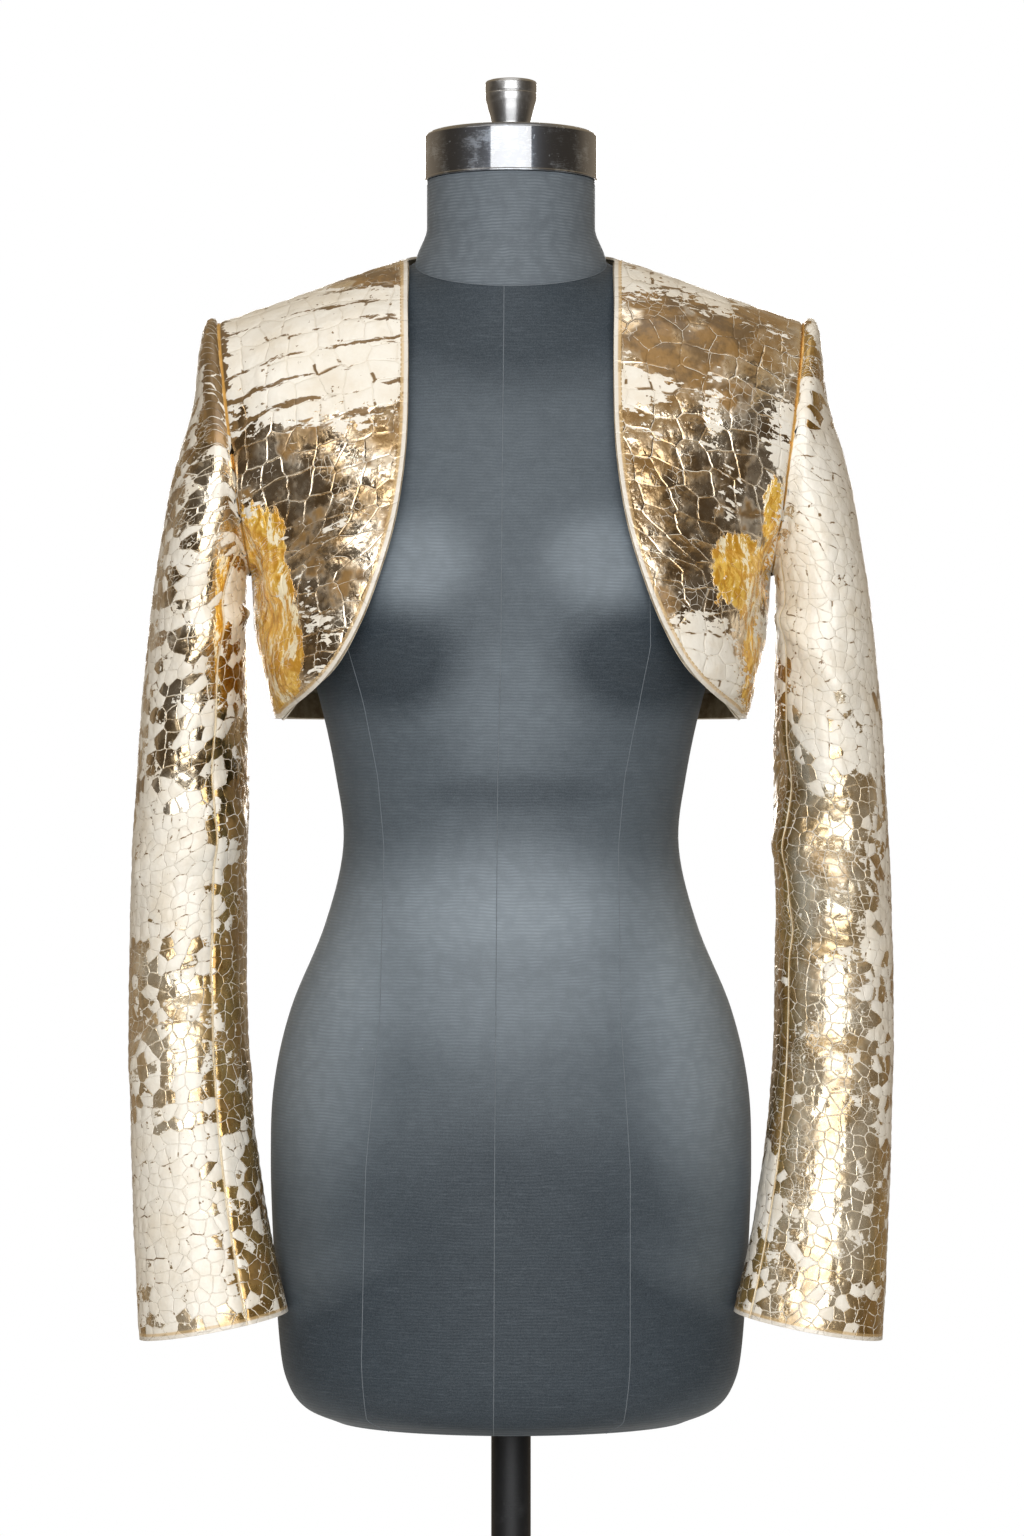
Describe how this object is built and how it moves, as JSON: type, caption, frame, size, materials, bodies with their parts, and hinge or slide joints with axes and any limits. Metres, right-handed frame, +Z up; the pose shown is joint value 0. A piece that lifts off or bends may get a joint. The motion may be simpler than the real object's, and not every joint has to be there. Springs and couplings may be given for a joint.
{
  "type": "leather bolero jacket on a dress form stand",
  "caption": "Cropped open leather bolero with long sleeves, worn by a limbless dress form on a pole and a round base.",
  "frame": {"origin": "on the floor, at the middle of the base's underside", "axes": "+Z up, +X to the wearer's left, -Y to the front"},
  "size_m": [0.5087, 0.41, 1.478],
  "materials": {
    "foiled_leather": "satin",
    "facing_leather": "matte",
    "form_jersey": "matte",
    "neck_jersey": "matte",
    "cap_chrome": "polished",
    "knob_steel": "satin",
    "stand_iron": "satin"
  },
  "bodies": {
    "root": {"front_left": "foiled_leather", "front_right": "foiled_leather", "back": "foiled_leather", "sleeve_top_left": "foiled_leather", "sleeve_under_left": "foiled_leather", "sleeve_top_right": "foiled_leather", "sleeve_under_right": "foiled_leather", "front_facing_left": "facing_leather", "front_facing_right": "facing_leather", "hem_facing": "facing_leather", "form_torso": "form_jersey", "form_neck": "neck_jersey", "neck_cap": "cap_chrome", "cap_knob": "knob_steel", "stand_pole": "stand_iron", "stand_base": "stand_iron"}
  },
  "joints": []
}
